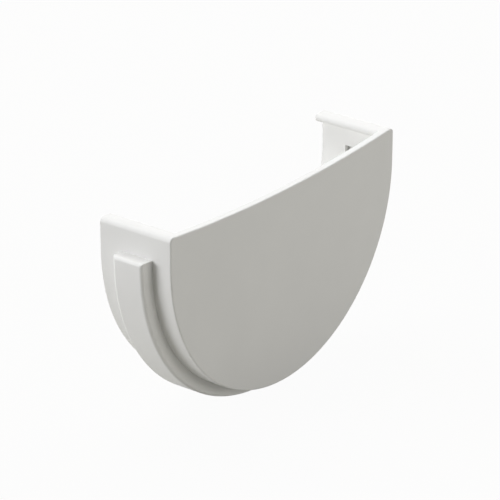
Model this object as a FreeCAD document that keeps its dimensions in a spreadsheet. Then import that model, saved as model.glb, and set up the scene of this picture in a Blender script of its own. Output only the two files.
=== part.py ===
import FreeCAD
import Part
import math
import os
import Sketcher

# End cap for a half-round gutter: one white moulded cap and the ribbed seal in its channel.
# Millimetres. The origin lies on the axis of the half-round, on the inner face of the end plate,
# where the gutter stops. +X runs across the gutter, +Y into the gutter, +Z up.

doc = FreeCAD.newDocument("gutter_end_cap")
sheet = doc.addObject("Spreadsheet::Sheet", "Sizes")

# Sizes that drive the part: name, value, what it is
DRIVING = (
    ("gutter_radius", "61.0", "outside radius of the half-round gutter"),
    ("gutter_gap", "1.2", "free space round the gutter inside the collar"),
    ("wall", "1.8", "wall of the collar and floor of the seal channel"),
    ("side_height", "12.4", "side above the axis, up to where its top corner is rounded off"),
    ("collar_depth", "28.0", "depth of the collar in front of the end plate"),
    ("plate_thickness", "2.6", "end plate"),
    ("top_dip", "3.15", "how far the plate's top edge sinks at its middle"),
    ("corner_round", "1.8", "top outer corners of plate and lips"),
    ("lip_width", "6.4", "lip from the outer face of the side to its nose"),
    ("lip_height", "3.3", "lip's underside below the side's top"),
    ("band_start", "5.9", "raised band, from the plate's inner face"),
    ("band_width", "12.8", "raised band along the gutter"),
    ("band_raise", "4.8", "raised band above the collar's outside"),
    ("band_top", "2.3", "upper ends of the raised band, above the axis"),
    ("band_edge", "1.3", "rounding of the raised band's outer edges"),
    ("channel_wall", "1.3", "sides and ends of the seal channel inside the band"),
    ("rim_edge", "0.5", "rounding of the end plate's outer rim"),
    ("mouth_edge", "0.35", "chamfer of the collar's open edge"),
    ("inner_round", "0.8", "fillets in the corners inside the collar"),
    ("seal_gap", "0.1", "glue film behind the seal"),
    ("seal_side_gap", "0.3", "space beside and above the seal"),
    ("seal_base", "2.9", "thickness of the seal's base"),
    ("seal_press", "0.4", "how far the ribs reach inside the gutter's outside"),
    ("rib_offset", "1.5", "each rib from the middle of the seal"),
    ("rib_foot", "1.0", "half the thickness of a rib at its foot"),
    ("rib_tip", "0.5", "half the thickness of a rib where its tip begins"),
    ("tip_bevel", "0.3", "bevel on both sides of a rib's tip"),
)

# Sizes that follow from them
DERIVED = (
    ("inner_radius", "=gutter_radius + gutter_gap", "inside of the collar"),
    ("outer_radius", "=inner_radius + wall", "outside of the collar and the plate"),
    ("top_sweep", "=(outer_radius^2 + top_dip^2) / (2 * top_dip)", "radius of the top edge"),
    ("sweep_z", "=side_height - top_dip + top_sweep", "centre of the top edge's arc, above the axis"),
    ("lip_foot", "=side_height - lip_height", "underside of the lips"),
    ("lip_reach", "=outer_radius - lip_width", "front of a lip's nose from the middle"),
    ("foot_depth", "=sweep_z - lip_foot", "underside of the lips below the arc's centre"),
    ("half_sum", "=foot_depth + top_sweep - lip_reach", "half the sum of the two possible noses"),
    ("lip_nose", "=half_sum - sqrt(half_sum^2 - lip_reach^2 - foot_depth^2 + top_sweep^2)",
     "radius of a nose that touches the underside and the top edge's arc"),
    ("lip_nose_x", "=lip_reach + lip_nose", "centre of a nose from the middle"),
    ("lip_nose_z", "=lip_foot + lip_nose", "centre of a nose above the axis"),
    ("lip_round_x", "=outer_radius - corner_round", "centre of a lip's outer rounding"),
    ("lip_round_z", "=sweep_z - sqrt((top_sweep + corner_round)^2 - lip_round_x^2)",
     "centre of that rounding above the axis"),
    ("band_outer", "=outer_radius + band_raise", "outside of the raised band"),
    ("band_root", "=outer_radius - wall / 2", "where the band is rooted in the collar"),
    ("channel_floor", "=band_outer - wall", "floor of the seal channel"),
    ("channel_mouth", "=inner_radius - wall", "inner limit of the cut for the channel"),
    ("channel_start", "=band_start + channel_wall", "channel, from the plate's inner face"),
    ("channel_width", "=band_width - 2 * channel_wall", "channel along the gutter"),
    ("channel_top", "=band_top - channel_wall", "upper ends of the channel"),
    ("seal_back", "=channel_floor - seal_gap", "outside of the seal"),
    ("seal_face", "=seal_back - seal_base", "surface between the seal's ribs"),
    ("seal_low", "=channel_start + seal_side_gap", "side of the seal next to the plate"),
    ("seal_high", "=channel_start + channel_width - seal_side_gap", "side of the seal next to the mouth"),
    ("seal_middle", "=(seal_low + seal_high) / 2", "middle of the seal"),
    ("seal_top", "=channel_top - seal_side_gap", "upper ends of the seal"),
    ("crest", "=gutter_radius - seal_press", "crest of the ribs"),
    ("shoulder", "=crest + tip_bevel", "where the ribs' tips begin"),
    ("rib_crest", "=rib_tip - tip_bevel", "half the flat on a rib's crest"),
    ("first_rib", "=seal_middle - rib_offset", "rib next to the plate"),
    ("second_rib", "=seal_middle + rib_offset", "rib next to the mouth"),
)

# Both sides of each rib at its foot, where its tip begins and at its crest
RIB_SIDES = tuple(
    (f"{rib}_{level}_{side}", f"={rib}_rib {sign} rib_{level}", f"{rib} rib, {level}, {side} side")
    for rib in ("first", "second")
    for level in ("foot", "tip", "crest")
    for side, sign in (("low", "-"), ("high", "+"))
)

SAME_PLACE = 0.01  # millimetres within which an edge counts as lying at a place
SAME_VOLUME = 0.01  # share by which the channel's cut may differ from its half ring

for row, (name, text, note) in enumerate(DRIVING + DERIVED + RIB_SIDES, start=1):
    sheet.set(f"A{row}", note)
    sheet.set(f"B{row}", text)
    sheet.setAlias(f"B{row}", name)
doc.recompute()


def size(name):
    """The value of one named size, in millimetres."""
    return float(sheet.get(name))


def point(x, z):
    return FreeCAD.Vector(x, z, 0)


def origin_plane(body, role):
    return next(item for item in body.Origin.OriginFeatures if item.Role == role)


def add_body(name):
    body = doc.addObject("PartDesign::Body", name)
    body.Label = name
    return body


def add_sketch(body, name, role, offset=None):
    """A sketch on one of the body's own planes, moved off it along its normal by a formula."""
    sketch = body.newObject("Sketcher::SketchObject", name)
    sketch.AttachmentSupport = [(origin_plane(body, role), "")]
    sketch.MapMode = "FlatFace"
    if offset:
        sketch.setExpression(".AttachmentOffset.Base.z", offset)
    return sketch


def dimension(sketch, kind, *target, to):
    """A dimension of a sketch, driven by a named size."""
    index = sketch.addConstraint(Sketcher.Constraint(kind, *target, size(to)))
    sketch.setExpression(f"Constraints[{index}]", f"Sizes.{to}")


def add_pad(body, name, sketch, length, into_gutter):
    """A pad. A sketch across the gutter faces away from it, so a pad into the gutter is reversed."""
    pad = body.newObject("PartDesign::Pad", name)
    pad.Profile = sketch
    pad.setExpression("Length", f"Sizes.{length}")
    pad.Reversed = into_gutter
    body.Tip = pad
    doc.recompute()
    return pad


def add_mirror(body, name, feature):
    """The same feature on the other side of the middle plane."""
    mirror = body.newObject("PartDesign::Mirrored", name)
    mirror.Originals = [feature]
    mirror.MirrorPlane = (origin_plane(body, "YZ_Plane"), [""])
    body.Tip = mirror
    doc.recompute()
    return mirror


def break_edges(body, kind, name, wanted, amount):
    """A fillet or a chamfer on the edges of the body that meet the test."""
    base = body.Tip
    edges = [f"Edge{number}" for number, edge in enumerate(base.Shape.Edges, start=1) if wanted(edge)]
    feature = body.newObject(f"PartDesign::{kind}", name)
    feature.Base = (base, edges)
    feature.setExpression({"Fillet": "Radius", "Chamfer": "Size"}[kind], f"Sizes.{amount}")
    body.Tip = feature
    doc.recompute()
    print(name, "edges", len(edges), "volume", round(feature.Shape.Volume, 1))


def draw_half_ring(sketch, outer, inner, top):
    """A U: two half circles about the axis and straight sides up to the top."""
    big, small, high = size(outer), size(inner), size(top)
    axis = point(0, 0)
    normal = FreeCAD.Vector(0, 0, 1)
    sketch.addGeometry([
        Part.ArcOfCircle(Part.Circle(axis, normal, big), math.pi, 2 * math.pi),
        Part.LineSegment(point(big, 0), point(big, high)),
        Part.LineSegment(point(big, high), point(small, high)),
        Part.LineSegment(point(small, high), point(small, 0)),
        Part.ArcOfCircle(Part.Circle(axis, normal, small), math.pi, 2 * math.pi),
        Part.LineSegment(point(-small, 0), point(-small, high)),
        Part.LineSegment(point(-small, high), point(-big, high)),
        Part.LineSegment(point(-big, high), point(-big, 0)),
    ], False)
    joined = ((0, 2, 1, 1), (1, 2, 2, 1), (2, 2, 3, 1), (3, 2, 4, 2),
              (4, 1, 5, 1), (5, 2, 6, 1), (6, 2, 7, 1), (7, 2, 0, 1))
    for pair in joined:
        sketch.addConstraint(Sketcher.Constraint("Coincident", *pair))
    for arc in (0, 4):
        sketch.addConstraint(Sketcher.Constraint("Coincident", arc, 3, -1, 1))
        sketch.addConstraint(Sketcher.Constraint("PointOnObject", arc, 1, -1))
        sketch.addConstraint(Sketcher.Constraint("PointOnObject", arc, 2, -1))
    for side in (1, 3, 5, 7):
        sketch.addConstraint(Sketcher.Constraint("Vertical", side))
    for end in (2, 6):
        sketch.addConstraint(Sketcher.Constraint("Horizontal", end))
    dimension(sketch, "Radius", 0, to=outer)
    dimension(sketch, "Radius", 4, to=inner)
    dimension(sketch, "DistanceY", -1, 1, 1, 2, to=top)
    dimension(sketch, "DistanceY", -1, 1, 7, 1, to=top)


def draw_plate(sketch):
    """The end plate: half circle, straight sides and a top edge that sinks in one shallow arc."""
    radius, high, sweep = size("outer_radius"), size("side_height"), size("top_sweep")
    centre = point(0, size("sweep_z"))
    half_angle = math.asin(radius / sweep)
    normal = FreeCAD.Vector(0, 0, 1)
    sketch.addGeometry([
        Part.ArcOfCircle(Part.Circle(point(0, 0), normal, radius), math.pi, 2 * math.pi),
        Part.LineSegment(point(radius, 0), point(radius, high)),
        Part.ArcOfCircle(Part.Circle(centre, normal, sweep),
                         1.5 * math.pi - half_angle, 1.5 * math.pi + half_angle),
        Part.LineSegment(point(-radius, high), point(-radius, 0)),
    ], False)
    for pair in ((0, 2, 1, 1), (1, 2, 2, 2), (2, 1, 3, 1), (3, 2, 0, 1), (0, 3, -1, 1)):
        sketch.addConstraint(Sketcher.Constraint("Coincident", *pair))
    for side in (1, 3):
        sketch.addConstraint(Sketcher.Constraint("Vertical", side))
    for end in (1, 2):
        sketch.addConstraint(Sketcher.Constraint("PointOnObject", 0, end, -1))
    sketch.addConstraint(Sketcher.Constraint("PointOnObject", 2, 3, -2))
    dimension(sketch, "Radius", 0, to="outer_radius")
    dimension(sketch, "Radius", 2, to="top_sweep")
    dimension(sketch, "DistanceY", -1, 1, 1, 2, to="side_height")


def draw_lip(sketch):
    """The section of one lip: rounded corner, top on the plate's own arc, round nose, flat underside."""
    side, foot = size("outer_radius"), size("lip_foot")
    nose, nose_x, nose_z = size("lip_nose"), size("lip_nose_x"), size("lip_nose_z")
    corner, corner_x, corner_z = size("corner_round"), size("lip_round_x"), size("lip_round_z")
    sweep, sweep_z = size("top_sweep"), size("sweep_z")
    at_corner = math.atan2(sweep_z - corner_z, -corner_x)
    at_nose = math.atan2(sweep_z - nose_z, -nose_x)
    normal = FreeCAD.Vector(0, 0, 1)
    sketch.addGeometry([
        Part.LineSegment(point(side, foot), point(side, corner_z)),
        Part.ArcOfCircle(Part.Circle(point(corner_x, corner_z), normal, corner), 0, at_corner),
        Part.ArcOfCircle(Part.Circle(point(0, sweep_z), normal, sweep),
                         at_nose + math.pi, at_corner + math.pi),
        Part.ArcOfCircle(Part.Circle(point(nose_x, nose_z), normal, nose), at_nose, 1.5 * math.pi),
        Part.LineSegment(point(nose_x, foot), point(side, foot)),
    ], False)
    for pair in ((0, 2, 1, 1), (1, 2, 2, 2), (2, 1, 3, 1), (3, 2, 4, 1)):
        sketch.addConstraint(Sketcher.Constraint("Tangent", *pair))
    sketch.addConstraint(Sketcher.Constraint("Coincident", 4, 2, 0, 1))
    sketch.addConstraint(Sketcher.Constraint("Vertical", 0))
    sketch.addConstraint(Sketcher.Constraint("Horizontal", 4))
    sketch.addConstraint(Sketcher.Constraint("PointOnObject", 2, 3, -2))
    dimension(sketch, "DistanceY", -1, 1, 2, 3, to="sweep_z")
    dimension(sketch, "Radius", 1, to="corner_round")
    dimension(sketch, "Radius", 2, to="top_sweep")
    dimension(sketch, "Radius", 3, to="lip_nose")
    dimension(sketch, "DistanceX", -1, 1, 0, 1, to="outer_radius")
    dimension(sketch, "DistanceY", -1, 1, 0, 1, to="lip_foot")


def draw_seal(sketch):
    """The section of the seal: a flat base with two tapered ribs that have bevelled tips."""
    corners = [("seal_back", "seal_low"), ("seal_back", "seal_high"), ("seal_face", "seal_high")]
    for rib in ("second", "first"):
        corners += [
            ("seal_face", f"{rib}_foot_high"), ("shoulder", f"{rib}_tip_high"), ("crest", f"{rib}_crest_high"),
            ("crest", f"{rib}_crest_low"), ("shoulder", f"{rib}_tip_low"), ("seal_face", f"{rib}_foot_low"),
        ]
    corners.append(("seal_face", "seal_low"))
    places = [point(size(x), size(y)) for x, y in corners]
    for number, start in enumerate(places):
        sketch.addGeometry(Part.LineSegment(start, places[(number + 1) % len(places)]), False)
    for number, (x, y) in enumerate(corners):
        sketch.addConstraint(Sketcher.Constraint("Coincident", number, 2, (number + 1) % len(corners), 1))
        dimension(sketch, "DistanceX", -1, 1, number, 1, to=x)
        dimension(sketch, "DistanceY", -1, 1, number, 1, to=y)


def near(value, target):
    return abs(value - target) < SAME_PLACE


def lies_in_plane(edge, place):
    """Whether an edge lies in one plane across the gutter."""
    box = edge.BoundBox
    return near(box.YMin, place) and near(box.YMax, place)


def along_gutter(edge, x, z):
    """Whether an edge runs along the gutter at this place, on either side."""
    box = edge.BoundBox
    return near(abs(box.XMin), x) and near(box.XMin, box.XMax) and near(box.ZMin, z) and near(box.ZMax, z)


def touches_radius(edge, radius, top):
    """Whether an edge follows a half ring of this radius: its half circle or a straight side."""
    middle = edge.valueAt((edge.FirstParameter + edge.LastParameter) / 2)
    if middle.z > 0:
        return near(abs(middle.x), radius) and middle.z < top
    return near(math.hypot(middle.x, middle.z), radius)


def add_cap():
    """The moulded cap: plate, collar, lips and the raised band with the seal channel inside it."""
    body = add_body("cap_body")

    outline = add_sketch(body, "plate_outline", "XZ_Plane")
    draw_plate(outline)
    add_pad(body, "plate", outline, "plate_thickness", False)
    break_edges(body, "Fillet", "plate_corners", is_plate_corner, "corner_round")
    break_edges(body, "Fillet", "plate_rim", is_plate_rim, "rim_edge")

    ring = add_sketch(body, "collar_section", "XZ_Plane")
    draw_half_ring(ring, "outer_radius", "inner_radius", "lip_foot")
    add_pad(body, "collar", ring, "collar_depth", True)

    section = add_sketch(body, "lip_section", "XZ_Plane")
    draw_lip(section)
    lip = add_pad(body, "right_lip", section, "collar_depth", True)
    add_mirror(body, "left_lip", lip)

    band = add_sketch(body, "band_section", "XZ_Plane", "-Sizes.band_start")
    draw_half_ring(band, "band_outer", "band_root", "band_top")
    add_pad(body, "seal_band", band, "band_width", True)
    break_edges(body, "Fillet", "band_edges", is_band_edge, "band_edge")

    channel = add_sketch(body, "channel_section", "XZ_Plane", "-Sizes.channel_start")
    draw_half_ring(channel, "channel_floor", "channel_mouth", "channel_top")
    before = body.Tip.Shape.Volume
    pocket = body.newObject("PartDesign::Pocket", "seal_channel")
    pocket.Profile = channel
    pocket.setExpression("Length", "Sizes.channel_width")
    body.Tip = pocket
    doc.recompute()
    check_channel(before - pocket.Shape.Volume)

    break_edges(body, "Fillet", "inside_corners", is_inside_corner, "inner_round")
    break_edges(body, "Chamfer", "mouth_edges", is_mouth_edge, "mouth_edge")
    return body


def check_channel(removed):
    """Compare what the channel cut away with the volume of its half ring."""
    floor, inside, high = size("channel_floor"), size("inner_radius"), size("channel_top")
    area = math.pi / 2 * (floor ** 2 - inside ** 2) + 2 * high * (floor - inside)
    expected = area * size("channel_width")
    print("seal_channel removed", round(removed, 1), "expected", round(expected, 1))
    if abs(removed - expected) > SAME_VOLUME * expected:
        raise RuntimeError("the seal channel isn't cut where it should be")


def is_plate_corner(edge):
    """The upper outer corners of the plate."""
    return along_gutter(edge, size("outer_radius"), size("side_height"))


def is_plate_rim(edge):
    """The edges round the plate's outer face."""
    return lies_in_plane(edge, -size("plate_thickness"))


def is_mouth_edge(edge):
    """The edges of the collar's open end."""
    return lies_in_plane(edge, size("collar_depth"))


def is_band_edge(edge):
    """The edges round the outside face of the raised band."""
    low, high = size("band_start"), size("band_start") + size("band_width")
    if along_gutter(edge, size("band_outer"), size("band_top")):
        return True
    in_side = lies_in_plane(edge, low) or lies_in_plane(edge, high)
    return in_side and touches_radius(edge, size("band_outer"), size("band_top"))


def is_inside_corner(edge):
    """The corners inside the collar: round the plate, and under each lip."""
    if along_gutter(edge, size("inner_radius"), size("lip_foot")):
        return True
    return lies_in_plane(edge, 0) and touches_radius(edge, size("inner_radius"), size("lip_foot"))


def add_seal():
    """The seal: its section turned half round the axis, with a short straight end on each side."""
    body = add_body("seal_strip")
    section = add_sketch(body, "seal_section", "XY_Plane")
    draw_seal(section)
    turn = body.newObject("PartDesign::Revolution", "seal_turn")
    turn.Profile = section
    turn.ReferenceAxis = (section, ["V_Axis"])
    turn.Angle = 180
    body.Tip = turn
    doc.recompute()
    right_end = add_pad(body, "right_end", section, "seal_top", False)
    add_mirror(body, "left_end", right_end)
    return body


parts = [add_cap(), add_seal()]
doc.recompute()

for item in doc.Objects:
    if "Invalid" in item.State or "Error" in item.State:
        raise RuntimeError(f"{item.Name} failed: {item.State}")

for body in parts:
    shape = body.Shape
    if shape.isNull() or not shape.isValid() or len(shape.Solids) != 1:
        raise RuntimeError(f"{body.Label} isn't one valid solid")

os.makedirs("parts", exist_ok=True)
for body in parts:
    body.Shape.exportStep(f"parts/{body.Label}.step")
    box = body.Shape.optimalBoundingBox(False, False)
    print(f"{body.Label}: {box.XLength:.2f} x {box.YLength:.2f} x {box.ZLength:.2f} mm, "
          f"volume {body.Shape.Volume:.0f} mm3, faces {len(body.Shape.Faces)}")
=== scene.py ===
# %% [markdown]
# End cap for a half-round gutter, in Blender.
#
# The object is one white moulding with a light grey rubber seal inside it. A flat plate closes the
# end of the gutter. Behind the plate stands a collar in the shape of a U, which goes over the gutter,
# and its rims are turned in to lips. A raised band runs round the outside of the collar. It is hollow,
# and the seal lies in it.
#
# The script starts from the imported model, which gives the sizes. Everything is in its frame: the
# origin lies on the axis of the half-round at the plate's inner face, x runs across the gutter,
# y into the gutter and z up. Sizes are in millimetres until a mesh is made.

import math

import bmesh
import bpy
import numpy as np
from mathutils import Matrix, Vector


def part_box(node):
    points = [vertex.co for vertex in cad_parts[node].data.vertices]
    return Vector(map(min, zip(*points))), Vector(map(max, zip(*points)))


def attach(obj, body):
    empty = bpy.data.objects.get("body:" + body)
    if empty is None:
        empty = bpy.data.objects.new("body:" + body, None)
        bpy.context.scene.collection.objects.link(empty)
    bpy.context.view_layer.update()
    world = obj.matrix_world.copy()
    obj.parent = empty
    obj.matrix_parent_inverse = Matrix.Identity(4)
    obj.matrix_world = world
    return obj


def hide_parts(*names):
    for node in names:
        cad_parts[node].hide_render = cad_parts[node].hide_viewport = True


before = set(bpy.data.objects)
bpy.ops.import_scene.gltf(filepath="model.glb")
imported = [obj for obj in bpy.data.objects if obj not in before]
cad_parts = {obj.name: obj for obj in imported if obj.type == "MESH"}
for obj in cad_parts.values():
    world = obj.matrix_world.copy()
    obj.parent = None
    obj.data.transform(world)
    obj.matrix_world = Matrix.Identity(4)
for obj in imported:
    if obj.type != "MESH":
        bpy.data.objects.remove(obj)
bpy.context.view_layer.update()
MM = 0.001
print("nodes", sorted(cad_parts))

# %% [markdown]
# The sizes of the moulding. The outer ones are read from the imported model, so they always fit it. The
# rest are the places, walls and roundings that a box can't tell, and each is written once.
#
# Heights count from the axis, and places along the gutter from the plate's inner face. SIDE_HEIGHT is
# where the collar's side would meet its top if that corner were sharp, and BAND_TOP is where the
# band ends. The band's side towards the plate reaches BAND_START where its rounding begins, and its
# foot is BAND_LEAN nearer to the plate.

# %% Sizes of the moulding
cap_low, cap_high = (np.array(corner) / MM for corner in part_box("cap_body"))
BAND_OUTER = cap_high[0]
PLATE_THICKNESS = -cap_low[1]
COLLAR_DEPTH = cap_high[1]

WALL = 1.8
SIDE_HEIGHT = 12.4
TOP_DIP = 3.15
CORNER_ROUND = 1.8
LIP_WIDTH = 6.4
LIP_HEIGHT = 3.3
RIM_EDGE = 0.5
MOUTH_EDGE = 0.35
INNER_ROUND = 0.8

BAND_RAISE = 4.8
BAND_START = 5.9
BAND_LEAN = 0.5
BAND_WIDTH = 12.8
BAND_TOP = 2.3
BAND_EDGE = 1.3
CHANNEL_WALL = 1.3

OUTER = BAND_OUTER - BAND_RAISE
INNER = OUTER - WALL
LIP_FOOT = SIDE_HEIGHT - LIP_HEIGHT
BAND_END = BAND_START + BAND_WIDTH
CHANNEL_TOP = BAND_TOP - CHANNEL_WALL
CHANNEL_DEPTH = BAND_OUTER - WALL - INNER
print("collar outside", round(OUTER, 3), "inside", round(INNER, 3), "lips from", round(LIP_FOOT, 3))

# %% [markdown]
# Every round stretch is an arc and every straight one a line. Both give their points together with
# the way the surface faces there, because later the points are pushed along that way to raise the
# band, to sink the channel and to round the edges. Blender's curves could draw the same outlines, but
# arrays keep each point and its facing side by side.

# %% Arcs and lines


def arc(centre, radius, start, end, steps, facing=1):
    """The centre plus the radius times (cosine, sine) of angles spread evenly from start to end.
    Angles are in degrees. The points face away from the centre, or towards it where facing is -1."""
    angles = np.radians(np.linspace(start, end, steps + 1))
    away = np.column_stack([np.cos(angles), np.sin(angles)])
    return np.asarray(centre) + radius * away, facing * away


def line(start, end, steps, facing):
    """The share s of the end plus the rest, 1 - s, of the start, with s spread evenly from 0 to 1."""
    share = np.linspace(0, 1, steps + 1)[:, None]
    points = (1 - share) * np.asarray(start, float) + share * np.asarray(end, float)
    return points, np.tile(np.asarray(facing, float), (steps + 1, 1))


def chain(*stretches):
    """Stretches laid end to end. Each starts where the last one ended, so its first point is left out."""
    first, *others = stretches
    return tuple(np.concatenate([first[part]] + [other[part][1:] for other in others]) for part in (0, 1))


CIRCLE_STEPS = 90
quarter_circle = arc((0, 0), OUTER, -90, 0, CIRCLE_STEPS)
print("quarter circle from", np.round(quarter_circle[0][0], 2), "to", np.round(quarter_circle[0][-1], 2))

# %% [markdown]
# The top of the plate and of both lips sinks in one shallow arc. The radius of an arc is its
# half-width squared plus its dip squared, over twice the dip. At each end it runs into a rounded
# corner, whose centre is the sum of both radii away from the arc's centre.
#
# A lip ends in a round nose that touches the arc above it and its own flat underside. The nose's
# centre lies one nose radius above the underside and one behind the lip's tip, and it too is the sum
# of both radii away from the arc's centre. Written out, that is a quadratic equation for the nose's
# radius, so the nose still fits when the lip's width or height is changed.

# %% The top edge and the nose of a lip
SWEEP = (OUTER ** 2 + TOP_DIP ** 2) / (2 * TOP_DIP)
sweep_centre = np.array([0.0, SIDE_HEIGHT - TOP_DIP + SWEEP])

corner_x = OUTER - CORNER_ROUND
corner_drop = math.sqrt((SWEEP + CORNER_ROUND) ** 2 - corner_x ** 2)
corner_centre = np.array([corner_x, sweep_centre[1] - corner_drop])

lip_reach = OUTER - LIP_WIDTH
foot_depth = sweep_centre[1] - LIP_FOOT
half_sum = foot_depth + SWEEP - lip_reach
NOSE = half_sum - math.sqrt(half_sum ** 2 - lip_reach ** 2 - foot_depth ** 2 + SWEEP ** 2)
nose_centre = np.array([lip_reach + NOSE, LIP_FOOT + NOSE])


def towards_sweep(point):
    """The angle of the line from a point to the centre of the top edge's arc, in degrees."""
    return math.degrees(math.atan2(sweep_centre[1] - point[1], -point[0]))


nose_angle, corner_angle = towards_sweep(nose_centre), towards_sweep(corner_centre)
print("sweep radius", round(SWEEP, 1), "nose radius", round(NOSE, 3), "at", np.round(nose_centre, 3))

# %% [markdown]
# The straight side is where the band and the channel end. Both could be separate rings joined with a
# Boolean modifier, but its ragged triangles spoil the shading beside every joint. Here they are only
# heights over one surface, so the surface needs points where a height changes. A place that is
# written twice lets it step there: one point stays at the foot and the other goes to the top.
#
# The rounding of an edge is a quarter turn. Its run is how far it has come along the surface, and its
# rise how high it stands.

# %% Points on the straight side
ROUND_STEPS = 6
PLAIN_HEIGHTS = (4.0, 6.0)

quarter_turn = np.radians(np.linspace(0, 90, ROUND_STEPS + 1))
edge_run = BAND_EDGE * (1 - np.cos(quarter_turn))
edge_rise = BAND_RAISE - BAND_EDGE * (1 - np.sin(quarter_turn))
side_heights = np.concatenate([
    [0.0, CHANNEL_TOP, CHANNEL_TOP], (BAND_TOP - edge_run)[::-1][1:], [BAND_TOP], PLAIN_HEIGHTS,
])


def side(x):
    """The straight side: the same x at every height in the list, facing along x."""
    points = np.column_stack([np.full(len(side_heights), x), side_heights])
    return points, np.tile([1.0, 0.0], (len(side_heights), 1))


print("heights on the side", np.round(side_heights, 2))

# %% [markdown]
# The outlines, each from the lowest point up the right side. The outer one climbs the wall, rounds
# the corner and follows the top edge as far as the nose. The inner one climbs inside the wall, turns
# under the lip and comes round the nose to the same point. Both have matching points, so that the
# faces between them are plain strips. The top edge goes on from there to the middle of the plate.

# %% The outlines
UPPER_SIDE_STEPS = 2
CORNER_STEPS = 8
LIP_STEPS = 3
NOSE_STEPS = 16
MIDDLE_STEPS = 24

outer_outline = chain(
    quarter_circle,
    side(OUTER),
    line((OUTER, side_heights[-1]), (OUTER, corner_centre[1]), UPPER_SIDE_STEPS, (1, 0)),
    arc(corner_centre, CORNER_ROUND, 0, corner_angle, CORNER_STEPS),
    arc(sweep_centre, SWEEP, corner_angle - 180, nose_angle - 180, LIP_STEPS + NOSE_STEPS, facing=-1),
)
inner_outline = chain(
    arc((0, 0), INNER, -90, 0, CIRCLE_STEPS),
    side(INNER),
    line((INNER, side_heights[-1]), (INNER, LIP_FOOT - INNER_ROUND), UPPER_SIDE_STEPS, (1, 0)),
    arc((INNER - INNER_ROUND, LIP_FOOT - INNER_ROUND), INNER_ROUND, 0, 90, CORNER_STEPS),
    line((INNER - INNER_ROUND, LIP_FOOT), (nose_centre[0], LIP_FOOT), LIP_STEPS, (0, 1)),
    arc(nose_centre, NOSE, 270, nose_angle, NOSE_STEPS, facing=-1),
)
middle_outline = arc(sweep_centre, SWEEP, nose_angle - 180, -90, MIDDLE_STEPS, facing=-1)
print("points of the outlines", len(outer_outline[0]), len(inner_outline[0]), len(middle_outline[0]))

# %% [markdown]
# The band is a raised strip with steep sides and rounded outer edges. The side towards the plate leans
# a little, as moulded sides do so that they come out of their mould. The band's height over the collar
# is a function of two places: how far along the gutter and how far up the side. Each gives a height of
# its own, and the lower of the two counts, which makes the rounded end meet the rounded sides in the
# neat mitre that the real band has. The channel inside is the same thing, upright and with sharp edges.
# Its sides lie where the band's roundings end, so both walls share one list of stations along the
# gutter.
#
# TO_AXIS counts the points of an outline up to the axis. Two more stand at the channel's top. The band
# has its full height at both of them, and the channel its full depth at the first only.

# %% Heights of the band and depths of the channel
TO_AXIS = CIRCLE_STEPS + 1


def along_outline(outline, *stretches):
    """One value per point of the outline: the given values for its first points, and zero after."""
    given = np.concatenate(stretches)
    return np.concatenate([given, np.zeros(len(outline[0]) - len(given))])


stations = np.concatenate([
    [0.0, BAND_START - BAND_LEAN], BAND_START + edge_run, [BAND_START + CHANNEL_WALL],
    [BAND_END - CHANNEL_WALL], (BAND_END - edge_run)[::-1], [BAND_END],
])
band_up = along_outline(outer_outline, np.full(TO_AXIS + 2, BAND_RAISE), edge_rise[::-1][1:])
band_across = np.concatenate([[0.0, 0.0], edge_rise, [BAND_RAISE] * 2, edge_rise[::-1], [0.0]])
band_height = np.minimum(band_up[:, None], band_across[None, :])

beside_channel = np.zeros(len(edge_run) + 1)
channel_up = along_outline(inner_outline, np.full(TO_AXIS + 1, CHANNEL_DEPTH))
channel_across = np.concatenate([[0.0], beside_channel, [CHANNEL_DEPTH] * 2, beside_channel])
channel_depth = np.minimum(channel_up[:, None], channel_across[None, :])
print("band height", round(band_height.max(), 3), "channel depth", round(channel_depth.max(), 3))

# %% [markdown]
# A wall is an outline carried along the gutter. Every point of the outline stands at every station,
# pushed along its facing by the height worked out for that place. An extruded curve with a Solidify
# modifier would be shorter to write, but its wall would be equally thick all over.
#
# At the mouth both walls draw back a little, which rounds the edges of the mouth.

# %% The outer wall


def wall(outline, places, offsets):
    """x and z are the outline's point plus its facing times the offset, and y is the place."""
    points, facing = outline
    moved = points[:, None, :] + facing[:, None, :] * offsets[:, :, None]
    return np.stack([moved[..., 0], np.broadcast_to(places, offsets.shape), moved[..., 1]], axis=-1)


rows = len(outer_outline[0])
mouth_stations = COLLAR_DEPTH - MOUTH_EDGE * (1 - np.sin(quarter_turn))
mouth_sink = MOUTH_EDGE * (1 - np.cos(quarter_turn))
outer_wall = wall(
    outer_outline,
    np.concatenate([stations, mouth_stations]),
    np.hstack([band_height, np.tile(-mouth_sink, (rows, 1))]),
)
print("outer wall", outer_wall.shape[:2])

# %% [markdown]
# Where the inner wall meets the plate, a fillet carries it in towards the axis, as a mould's rounded
# edge leaves it. The fillet is full as far as the lip's corner and shrinks to nothing round that
# corner. A Bevel modifier would need a weight on every edge to do that.

# %% The inner wall
full_fillet = np.full(TO_AXIS + len(side_heights) - 1 + UPPER_SIDE_STEPS, INNER_ROUND)
fading_fillet = INNER_ROUND * (1 - np.linspace(0, 1, CORNER_STEPS + 1))[1:]
fillet = along_outline(inner_outline, full_fillet, fading_fillet)[:, None]
fillet_stations = fillet * (1 - np.sin(quarter_turn))[::-1]
fillet_offsets = -fillet * (1 - np.cos(quarter_turn))[::-1]
inner_wall = wall(
    inner_outline,
    np.hstack([fillet_stations, np.tile(np.concatenate([stations[1:], mouth_stations]), (rows, 1))]),
    np.hstack([fillet_offsets, channel_depth[:, 1:], np.tile(mouth_sink, (rows, 1))]),
)
print("inner wall", inner_wall.shape[:2])

# %% [markdown]
# The rim is the plate's own edge: straight through its thickness, and rounded where it meets the outer
# face. It follows the outer outline and then the top edge to the middle. A strip closes the mouth
# between the two walls.

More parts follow.
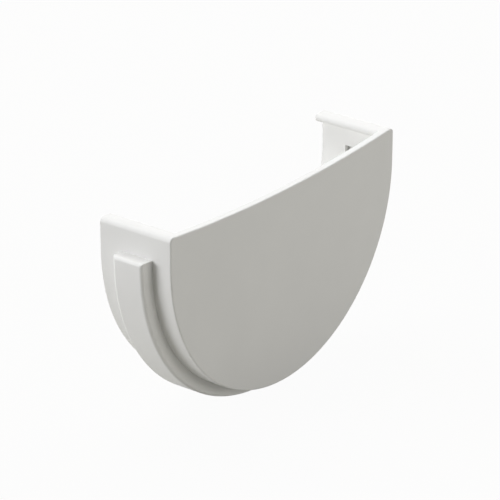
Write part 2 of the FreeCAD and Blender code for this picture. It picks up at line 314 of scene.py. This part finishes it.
# %% The rim and the mouth
rim_places = np.append(0.0, PLATE_THICKNESS - RIM_EDGE * (1 - np.sin(quarter_turn)))
rim_sink = np.append(0.0, RIM_EDGE * (1 - np.cos(quarter_turn)))
rim_outline = chain(outer_outline, middle_outline)
rim = wall(rim_outline, -rim_places, np.tile(-rim_sink, (len(rim_outline[0]), 1)))
mouth = np.stack([outer_wall[:, -1], inner_wall[:, -1]], axis=1)
print("rim", rim.shape[:2], "mouth", mouth.shape[:2])

# %% [markdown]
# The flat faces of the plate are filled with rows, from the lowest point up. Each row starts at a
# point of the outline and ends in the middle of the plate. Above the axis the rows sink towards the
# middle, so that the last one is the plate's top edge itself. One face with hundreds of corners would
# fill the plate too, but Blender cuts such a face into long thin triangles.

# %% The plate's two faces


def fill(edge, top):
    """Rows from the edge to the middle, each with as many points as the top edge. Along a row, x is the
    edge's x times the top's x over its first x, and z is the edge's z minus the row's dip times the
    share of the top's dip reached by then. Below the axis a row has no dip. Above it, its height in the
    middle is the top's, times the share of the edge's climb from the axis that lies below the row."""
    lengths = np.linalg.norm(np.diff(edge, axis=0), axis=1)
    climbed = np.append(0.0, np.cumsum(np.where(edge[1:, 1] > 0, lengths, 0.0)))
    middle = np.where(edge[:, 1] > 0, top[-1, 1] * climbed / climbed[-1], edge[:, 1])
    x = edge[:, :1] * (top[:, 0] / top[0, 0])
    share = (top[0, 1] - top[:, 1]) / (top[0, 1] - top[-1, 1])
    return x, edge[:, 1:] - (edge[:, 1:] - middle[:, None]) * share


def flat(x, z, place):
    """The same points at one place along the gutter, which is their y."""
    return np.stack([x, np.full_like(x, place), z], axis=-1)


outer_edge = rim[:, -1, [0, 2]]
inner_edge = inner_wall[:, 0, [0, 2]]
top_start = rows - LIP_STEPS - NOSE_STEPS - 1
outer_face = flat(*fill(outer_edge[:top_start + 1], outer_edge[top_start:]), -PLATE_THICKNESS)
inner_face = flat(*fill(inner_edge, middle_outline[0]), 0.0)
print("outer face", outer_face.shape[:2], "inner face", inner_face.shape[:2])

# %% [markdown]
# All these grids are the right half of the cap. They and their mirror images go into one mesh, as one
# list of points and one list of faces. A Mirror modifier would make the other half too, but then the
# closed skin could only be checked after it.

# %% Faces from grids


def cells(grid):
    """The four corners of every cell of a grid, as indices counted along its rows."""
    index = np.arange(grid.shape[0] * grid.shape[1]).reshape(grid.shape[:2])
    corners = [index[:-1, :-1], index[1:, :-1], index[1:, 1:], index[:-1, 1:]]
    return np.stack(corners, axis=-1).reshape(-1, 4)


def half_and_mirror(grids, loops):
    """Points in metres and faces of the grids and of their mirror images, whose x is times -1. A loop
    is one face with all its points as corners."""
    points, faces, count = [], [], 0
    for mirror in (1, -1):
        for grid in [*grids, *loops]:
            corners = cells(grid) if grid.ndim == 3 else np.arange(len(grid))[None]
            points.append(grid.reshape(-1, 3) * (mirror * MM, MM, MM))
            faces += (corners + count).tolist()
            count += len(points[-1])
    return np.concatenate(points), faces


print("cells of the outer wall", len(cells(outer_wall)))

# %% [markdown]
# Points that lie in the same place are merged, which joins the grids into one closed skin and takes
# away the cells of no size where a step starts or ends. Then the faces are turned to point outwards.
#
# Smooth shading alone would drag the shade of a rounding over the flat faces beside it. The Weighted
# Normal modifier lets the large faces decide, and keeps the edges that are marked sharp.

# %% One closed skin
SAME_PLACE = 0.001 * MM
SHARP_ANGLE = math.radians(32)


def closed_piece(name, grids, loops=()):
    """An object whose skin is the grids and loops of its right half, and their mirror images."""
    points, faces = half_and_mirror(grids, loops)
    mesh = bpy.data.meshes.new(name)
    mesh.from_pydata(points.tolist(), [], faces)
    skin = bmesh.new()
    skin.from_mesh(mesh)
    bmesh.ops.remove_doubles(skin, verts=skin.verts, dist=SAME_PLACE)
    bmesh.ops.recalc_face_normals(skin, faces=skin.faces)
    open_edges = sum(not edge.is_manifold for edge in skin.edges)
    print(name, "faces", len(skin.faces), "open edges", open_edges)
    print("volume in mm3", round(skin.calc_volume() / MM ** 3, 1))
    skin.to_mesh(mesh)
    skin.free()
    mesh.shade_smooth()
    mesh.set_sharp_from_angle(angle=SHARP_ANGLE)
    piece = bpy.data.objects.new(name, mesh)
    bpy.context.scene.collection.objects.link(piece)
    even = piece.modifiers.new("even_shading", "WEIGHTED_NORMAL")
    even.keep_sharp = True
    return piece


right_half = [outer_wall, inner_wall, mouth, rim, outer_face, inner_face]
moulding = closed_piece("gutter_cap_moulding", right_half)

# %% [markdown]
# The seal is one rubber profile laid round the channel: a flat base with two soft ribs that taper
# towards round tips. Its section is drawn once and carried round the axis, with a short straight piece
# at each end. A curve with a bevel would do as well, but the function for walls is already there. The
# outline that it carries here stays on the axis while it turns and then climbs straight up, and the
# section's radius is the offset.

# %% The seal
seal_low, seal_high = (np.array(corner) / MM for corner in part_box("seal_strip"))
SEAL_BACK = seal_high[0]
SEAL_TOP = seal_high[2]
SEAL_BASE = 2.9
RIB_CREST = 60.6
RIB_TIP = 0.5
RIB_FOOT = 1.0
RIB_OFFSET = 1.5
TIP_STEPS = 8
seal_face = SEAL_BACK - SEAL_BASE
seal_middle = (seal_low[1] + seal_high[1]) / 2


def rib(place):
    """Foot, round tip and foot again, in radius and place along the gutter."""
    tip = arc((RIB_CREST + RIB_TIP, place), RIB_TIP, 90, 270, TIP_STEPS)[0]
    return np.concatenate([[[seal_face, place + RIB_FOOT]], tip, [[seal_face, place - RIB_FOOT]]])


section = np.concatenate([
    [[SEAL_BACK, seal_low[1]], [SEAL_BACK, seal_high[1]], [seal_face, seal_high[1]]],
    rib(seal_middle + RIB_OFFSET),
    rib(seal_middle - RIB_OFFSET),
    [[seal_face, seal_low[1]], [SEAL_BACK, seal_low[1]]],
])
spine = chain(arc((0, 0), 0, -90, 0, CIRCLE_STEPS), line((0, 0), (0, SEAL_TOP), 1, (1, 0)))
seal_skin = wall(spine, section[:, 1], np.tile(section[:, 0], (len(spine[0]), 1)))
seal = closed_piece("ribbed_seal", [seal_skin], loops=[seal_skin[-1, :-1]])

# %% [markdown]
# Both pieces stand for a node of the imported model, whose own mesh is hidden, and ride on its one body.

# %% Tie the pieces to the model
for piece, node, slot in ((moulding, "cap_body", "cap"), (seal, "seal_strip", "seal")):
    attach(piece, "root")
    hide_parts(node)
print("pieces", moulding.name, seal.name)

# %% [markdown]
# Colours are written as the hex values of a screen, and a shader works with linear light, so one
# function turns the one into the other.

# %% Colours


def linear(hex_colour):
    """Each channel is divided by 12.92 up to 0.04045, and above it is ((c + 0.055) / 1.055) to the
    power 2.4. The fourth number is full cover."""
    channels = np.array([int(hex_colour[start:start + 2], 16) for start in (1, 3, 5)]) / 255
    light = np.where(channels <= 0.04045, channels / 12.92, ((channels + 0.055) / 1.055) ** 2.4)
    return (*light, 1.0)


print("the middle grey of a screen in linear light", np.round(linear("#808080")[:3], 3))

# %% [markdown]
# A material is a tree of nodes. One function starts an empty one, and one adds a node with its
# settings and links, so that every material below reads like a list of its nodes.
#
# A noise rarely comes near 0 or 1. Most of it lies in its usual stretch, so that is where a colour
# changes from one end to the other.

# %% Nodes
USUAL_NOISE = (0.35, 0.65)


def add_node(tree, kind, settings=(), inputs=()):
    """A node of this kind with its settings. An input is given a value or the output that feeds it."""
    node = tree.nodes.new(kind)
    for name, value in dict(settings).items():
        setattr(node, name, value)
    for name, value in dict(inputs).items():
        if isinstance(value, bpy.types.NodeSocket):
            tree.links.new(value, node.inputs[name])
        else:
            node.inputs[name].default_value = value
    return node


def new_material(name):
    """An empty material with its node tree and its output node."""
    material = bpy.data.materials.new(name)
    material.use_nodes = True
    material.node_tree.nodes.clear()
    return material, material.node_tree, material.node_tree.nodes.new("ShaderNodeOutputMaterial")


print("usual stretch of a noise", USUAL_NOISE)

# %% [markdown]
# The cap is injection-moulded rigid PVC, white all through. A steel mould with a fine spark finish
# gives it a satin skin: highlights are broad, and close up there is a grain of about a tenth of a
# millimetre. That is too fine to show, so the grain is drawn at 0.45 mm. As the melt cools, it flows
# and shrinks a little unevenly, so over two to three centimetres the gloss drifts and flat faces wave
# by about a hundredth of a millimetre. One even colour and gloss would be simpler, but then the large
# plate looks like a flat cut-out.

# %% White moulded PVC
GRAIN = 0.45 * MM
GRAIN_DEPTH = 0.004 * MM
FLOW = 24 * MM
FLOW_DEPTH = 0.02 * MM
WHITES = ("#E5E5E3", "#E7E7E5")
SATIN = {"From Min": 0.3, "From Max": 0.7, "To Min": 0.54, "To Max": 0.62}
PVC_IOR = 1.53

pvc, tree, output = new_material("white_moulded_pvc")
place = add_node(tree, "ShaderNodeTexCoord").outputs["Object"]
flow = add_node(tree, "ShaderNodeTexNoise", inputs={
    "Vector": place, "Scale": 1 / FLOW, "Detail": 2.0, "Roughness": 0.5})
grain = add_node(tree, "ShaderNodeTexNoise", inputs={
    "Vector": place, "Scale": 1 / GRAIN, "Detail": 2.0, "Roughness": 0.6})
tint = add_node(tree, "ShaderNodeValToRGB", inputs={"Fac": flow.outputs["Fac"]})
for stop, position, colour in zip(tint.color_ramp.elements, USUAL_NOISE, WHITES):
    stop.position = position
    stop.color = linear(colour)
gloss = add_node(tree, "ShaderNodeMapRange", inputs={"Value": flow.outputs["Fac"], **SATIN})
wave = add_node(tree, "ShaderNodeBump", inputs={
    "Height": flow.outputs["Fac"], "Distance": FLOW_DEPTH, "Strength": 1.0})
skin_grain = add_node(tree, "ShaderNodeBump", inputs={
    "Height": grain.outputs["Fac"], "Distance": GRAIN_DEPTH, "Strength": 1.0,
    "Normal": wave.outputs["Normal"]})
surface = add_node(tree, "ShaderNodeBsdfPrincipled", inputs={
    "Base Color": tint.outputs["Color"], "Roughness": gloss.outputs["Result"], "IOR": PVC_IOR,
    "Normal": skin_grain.outputs["Normal"]})
tree.links.new(surface.outputs["BSDF"], output.inputs["Surface"])
moulding.data.materials.append(pvc)
print(pvc.name, "nodes", len(tree.nodes), "grain scale", round(1 / GRAIN))

# %% [markdown]
# The seal is extruded rubber, light grey and matt. Talc and the cut of the die leave a fine, slightly
# mottled skin, so its colour varies a little and its gloss is low, where one even grey would look
# painted. The grain of the real skin is too fine to show, so it is drawn at 0.3 mm.

# %% Grey rubber
RUBBER_GRAIN = 0.3 * MM
RUBBER_GRAIN_DEPTH = 0.01 * MM
MOTTLE = 5 * MM
GREYS = ("#D2D2CE", "#DADAD6")
RUBBER_ROUGHNESS = 0.6
RUBBER_IOR = 1.52

rubber, tree, output = new_material("grey_extruded_rubber")
place = add_node(tree, "ShaderNodeTexCoord").outputs["Object"]
mottle = add_node(tree, "ShaderNodeTexNoise", inputs={
    "Vector": place, "Scale": 1 / MOTTLE, "Detail": 3.0})
grain = add_node(tree, "ShaderNodeTexNoise", inputs={
    "Vector": place, "Scale": 1 / RUBBER_GRAIN, "Detail": 2.0})
tint = add_node(tree, "ShaderNodeValToRGB", inputs={"Fac": mottle.outputs["Fac"]})
for stop, position, colour in zip(tint.color_ramp.elements, USUAL_NOISE, GREYS):
    stop.position = position
    stop.color = linear(colour)
skin_grain = add_node(tree, "ShaderNodeBump", inputs={
    "Height": grain.outputs["Fac"], "Distance": RUBBER_GRAIN_DEPTH, "Strength": 1.0})
surface = add_node(tree, "ShaderNodeBsdfPrincipled", inputs={
    "Base Color": tint.outputs["Color"], "Roughness": RUBBER_ROUGHNESS, "IOR": RUBBER_IOR,
    "Normal": skin_grain.outputs["Normal"]})
tree.links.new(surface.outputs["BSDF"], output.inputs["Surface"])
seal.data.materials.append(rubber)
print(rubber.name, "nodes", len(tree.nodes), "grain scale", round(1 / RUBBER_GRAIN))

# %% [markdown]
# The floor is a wide pale plane just under the lowest point of the band. Seen directly or in a gloss it
# is mostly white light, with the soft shadow of the cap in the rest. Any other light meets it as pale
# paint with a little yellow in it, which throws it back up at the cap and makes the shaded sides
# slightly warm. A floor of white paint alone would need so much light to look white that the cap
# would lose its shades.

# %% Pale floor
FLOOR_HALF = 3000.0
FLOOR_GAP = 0.2
SHADOW_SHARE = 0.04
FLOOR_PAINT = "#A9A8A0"
WHITE = (1.0, 1.0, 1.0, 1.0)

floor_height = -BAND_OUTER - FLOOR_GAP
floor_corners = np.array([[-1, -1, 0], [1, -1, 0], [1, 1, 0], [-1, 1, 0]]) * FLOOR_HALF
floor_corners[:, 2] = floor_height
floor_mesh = bpy.data.meshes.new("floor")
floor_mesh.from_pydata((floor_corners * MM).tolist(), [], [[0, 1, 2, 3]])
floor = bpy.data.objects.new("floor", floor_mesh)
bpy.context.scene.collection.objects.link(floor)


def seen_directly(tree):
    """The larger of three numbers: 1 on a camera, glossy or transmission ray, and 0 on any other."""
    ray = add_node(tree, "ShaderNodeLightPath")
    eye = add_node(tree, "ShaderNodeMath", {"operation": "MAXIMUM"}, {
        0: ray.outputs["Is Camera Ray"], 1: ray.outputs["Is Glossy Ray"]})
    both = add_node(tree, "ShaderNodeMath", {"operation": "MAXIMUM"}, {
        0: eye.outputs["Value"], 1: ray.outputs["Is Transmission Ray"]})
    return both.outputs["Value"]


paint, tree, output = new_material("pale_floor_paint")
white_share = add_node(tree, "ShaderNodeMath", {"operation": "MULTIPLY"}, {
    0: seen_directly(tree), 1: 1 - SHADOW_SHARE})
coat = add_node(tree, "ShaderNodeBsdfDiffuse", inputs={"Color": linear(FLOOR_PAINT)})
white = add_node(tree, "ShaderNodeEmission", inputs={"Color": WHITE, "Strength": 1.0})
mixed = add_node(tree, "ShaderNodeMixShader", inputs={
    0: white_share.outputs["Value"], 1: coat.outputs["BSDF"], 2: white.outputs["Emission"]})
tree.links.new(mixed.outputs["Shader"], output.inputs["Surface"])
floor.data.materials.append(paint)
print("floor at", round(floor_height, 1), "mm")

# %% [markdown]
# The room is white where the eye looks at it, directly or in a gloss, and gives no other light. A
# world that is simply white would light every side of the cap alike.

# %% White room
world = bpy.data.worlds.new("white_room")
bpy.context.scene.world = world
world.use_nodes = True
tree = world.node_tree
tree.nodes.clear()
backdrop = add_node(tree, "ShaderNodeBackground", inputs={
    "Color": WHITE, "Strength": seen_directly(tree)})
add_node(tree, "ShaderNodeOutputWorld", inputs={"Surface": backdrop.outputs["Background"]})
print("room nodes", len(tree.nodes))

# %% [markdown]
# Soft studio light from four large square lamps, all 1.6 m away. One stands high behind the cap, so
# the tops are the lightest faces. One low at the back left lights the left side and, through the open
# mouth, the inside of the far wall, and it throws the short shadow of the band on the wall in front of
# it. A wide one on the right adds to the tops and grazes the plate, which gets a little lighter
# towards that side. The weakest stands low in front and keeps the plate and the side of the band in
# an even shade. These steps from face to face are what shows the form of a white object on a white
# ground. Small lamps would give the same steps, but hard shadows with them.

# %% Light
LAMP_DISTANCE = 1600
# Angle round the cap and height in degrees, width in mm, power in watts, colour
LAMPS = {
    "lamp_high_back": (90, 60, 1200, 23.0, "#FFFFFF"),
    "lamp_back_left": (142, 12, 750, 17.3, "#FCFCFF"),
    "lamp_right": (0, 25, 1500, 19.7, "#FDFDFF"),
    "lamp_front": (277, 12, 700, 7.8, "#FFFDF9"),
}


def soft_lamp(name, around, height, width, watts, colour):
    """A lamp at the given angles in degrees, counted from +x towards +y and from the floor up. Its
    direction is (cos around times cos height, sin around times cos height, sin height)."""
    around, height = math.radians(around), math.radians(height)
    light = bpy.data.lights.new(name, "AREA")
    light.size = width * MM
    light.energy = watts
    light.color = linear(colour)[:3]
    lamp = bpy.data.objects.new(name, light)
    level = math.cos(height)
    towards = Vector((math.cos(around) * level, math.sin(around) * level, math.sin(height)))
    lamp.location = towards * LAMP_DISTANCE * MM
    lamp.rotation_euler = (-towards).to_track_quat("-Z", "Y").to_euler()
    bpy.context.scene.collection.objects.link(lamp)


for name, settings in LAMPS.items():
    soft_lamp(name, *settings)
print("lamps", list(LAMPS))

# %% [markdown]
# The camera looks at the plate from its left and from above, through a long lens, so that the far
# edge is hardly smaller than the near one. It is set by the point it looks at, its distance, and how
# far it is turned and tipped. A constraint that tracks a point would turn it too, but plain angles
# show how it stands.

# %% Camera
AIM = np.array([-9.05, 6.70, -13.28])
DISTANCE = 972.6
TURN = 52.390
TIP = 23.828
LENS = 200.9
SENSOR_WIDTH = 36

turn, tip = math.radians(TURN), math.radians(TIP)
ahead = np.array([math.sin(turn) * math.cos(tip), math.cos(turn) * math.cos(tip), -math.sin(tip)])
camera_data = bpy.data.cameras.new("camera")
camera_data.lens = LENS
camera_data.sensor_width = SENSOR_WIDTH
camera = bpy.data.objects.new("camera", camera_data)
camera.location = Vector((AIM - DISTANCE * ahead) * MM)
camera.rotation_euler = (math.pi / 2 - tip, 0, -turn)
bpy.context.scene.collection.objects.link(camera)
bpy.context.scene.camera = camera
print("camera at", np.round(np.array(camera.location) / MM, 1))

# %% [markdown]
# The colours are shown as they are written, with no film look.

# %% View
bpy.context.scene.view_settings.view_transform = "Standard"
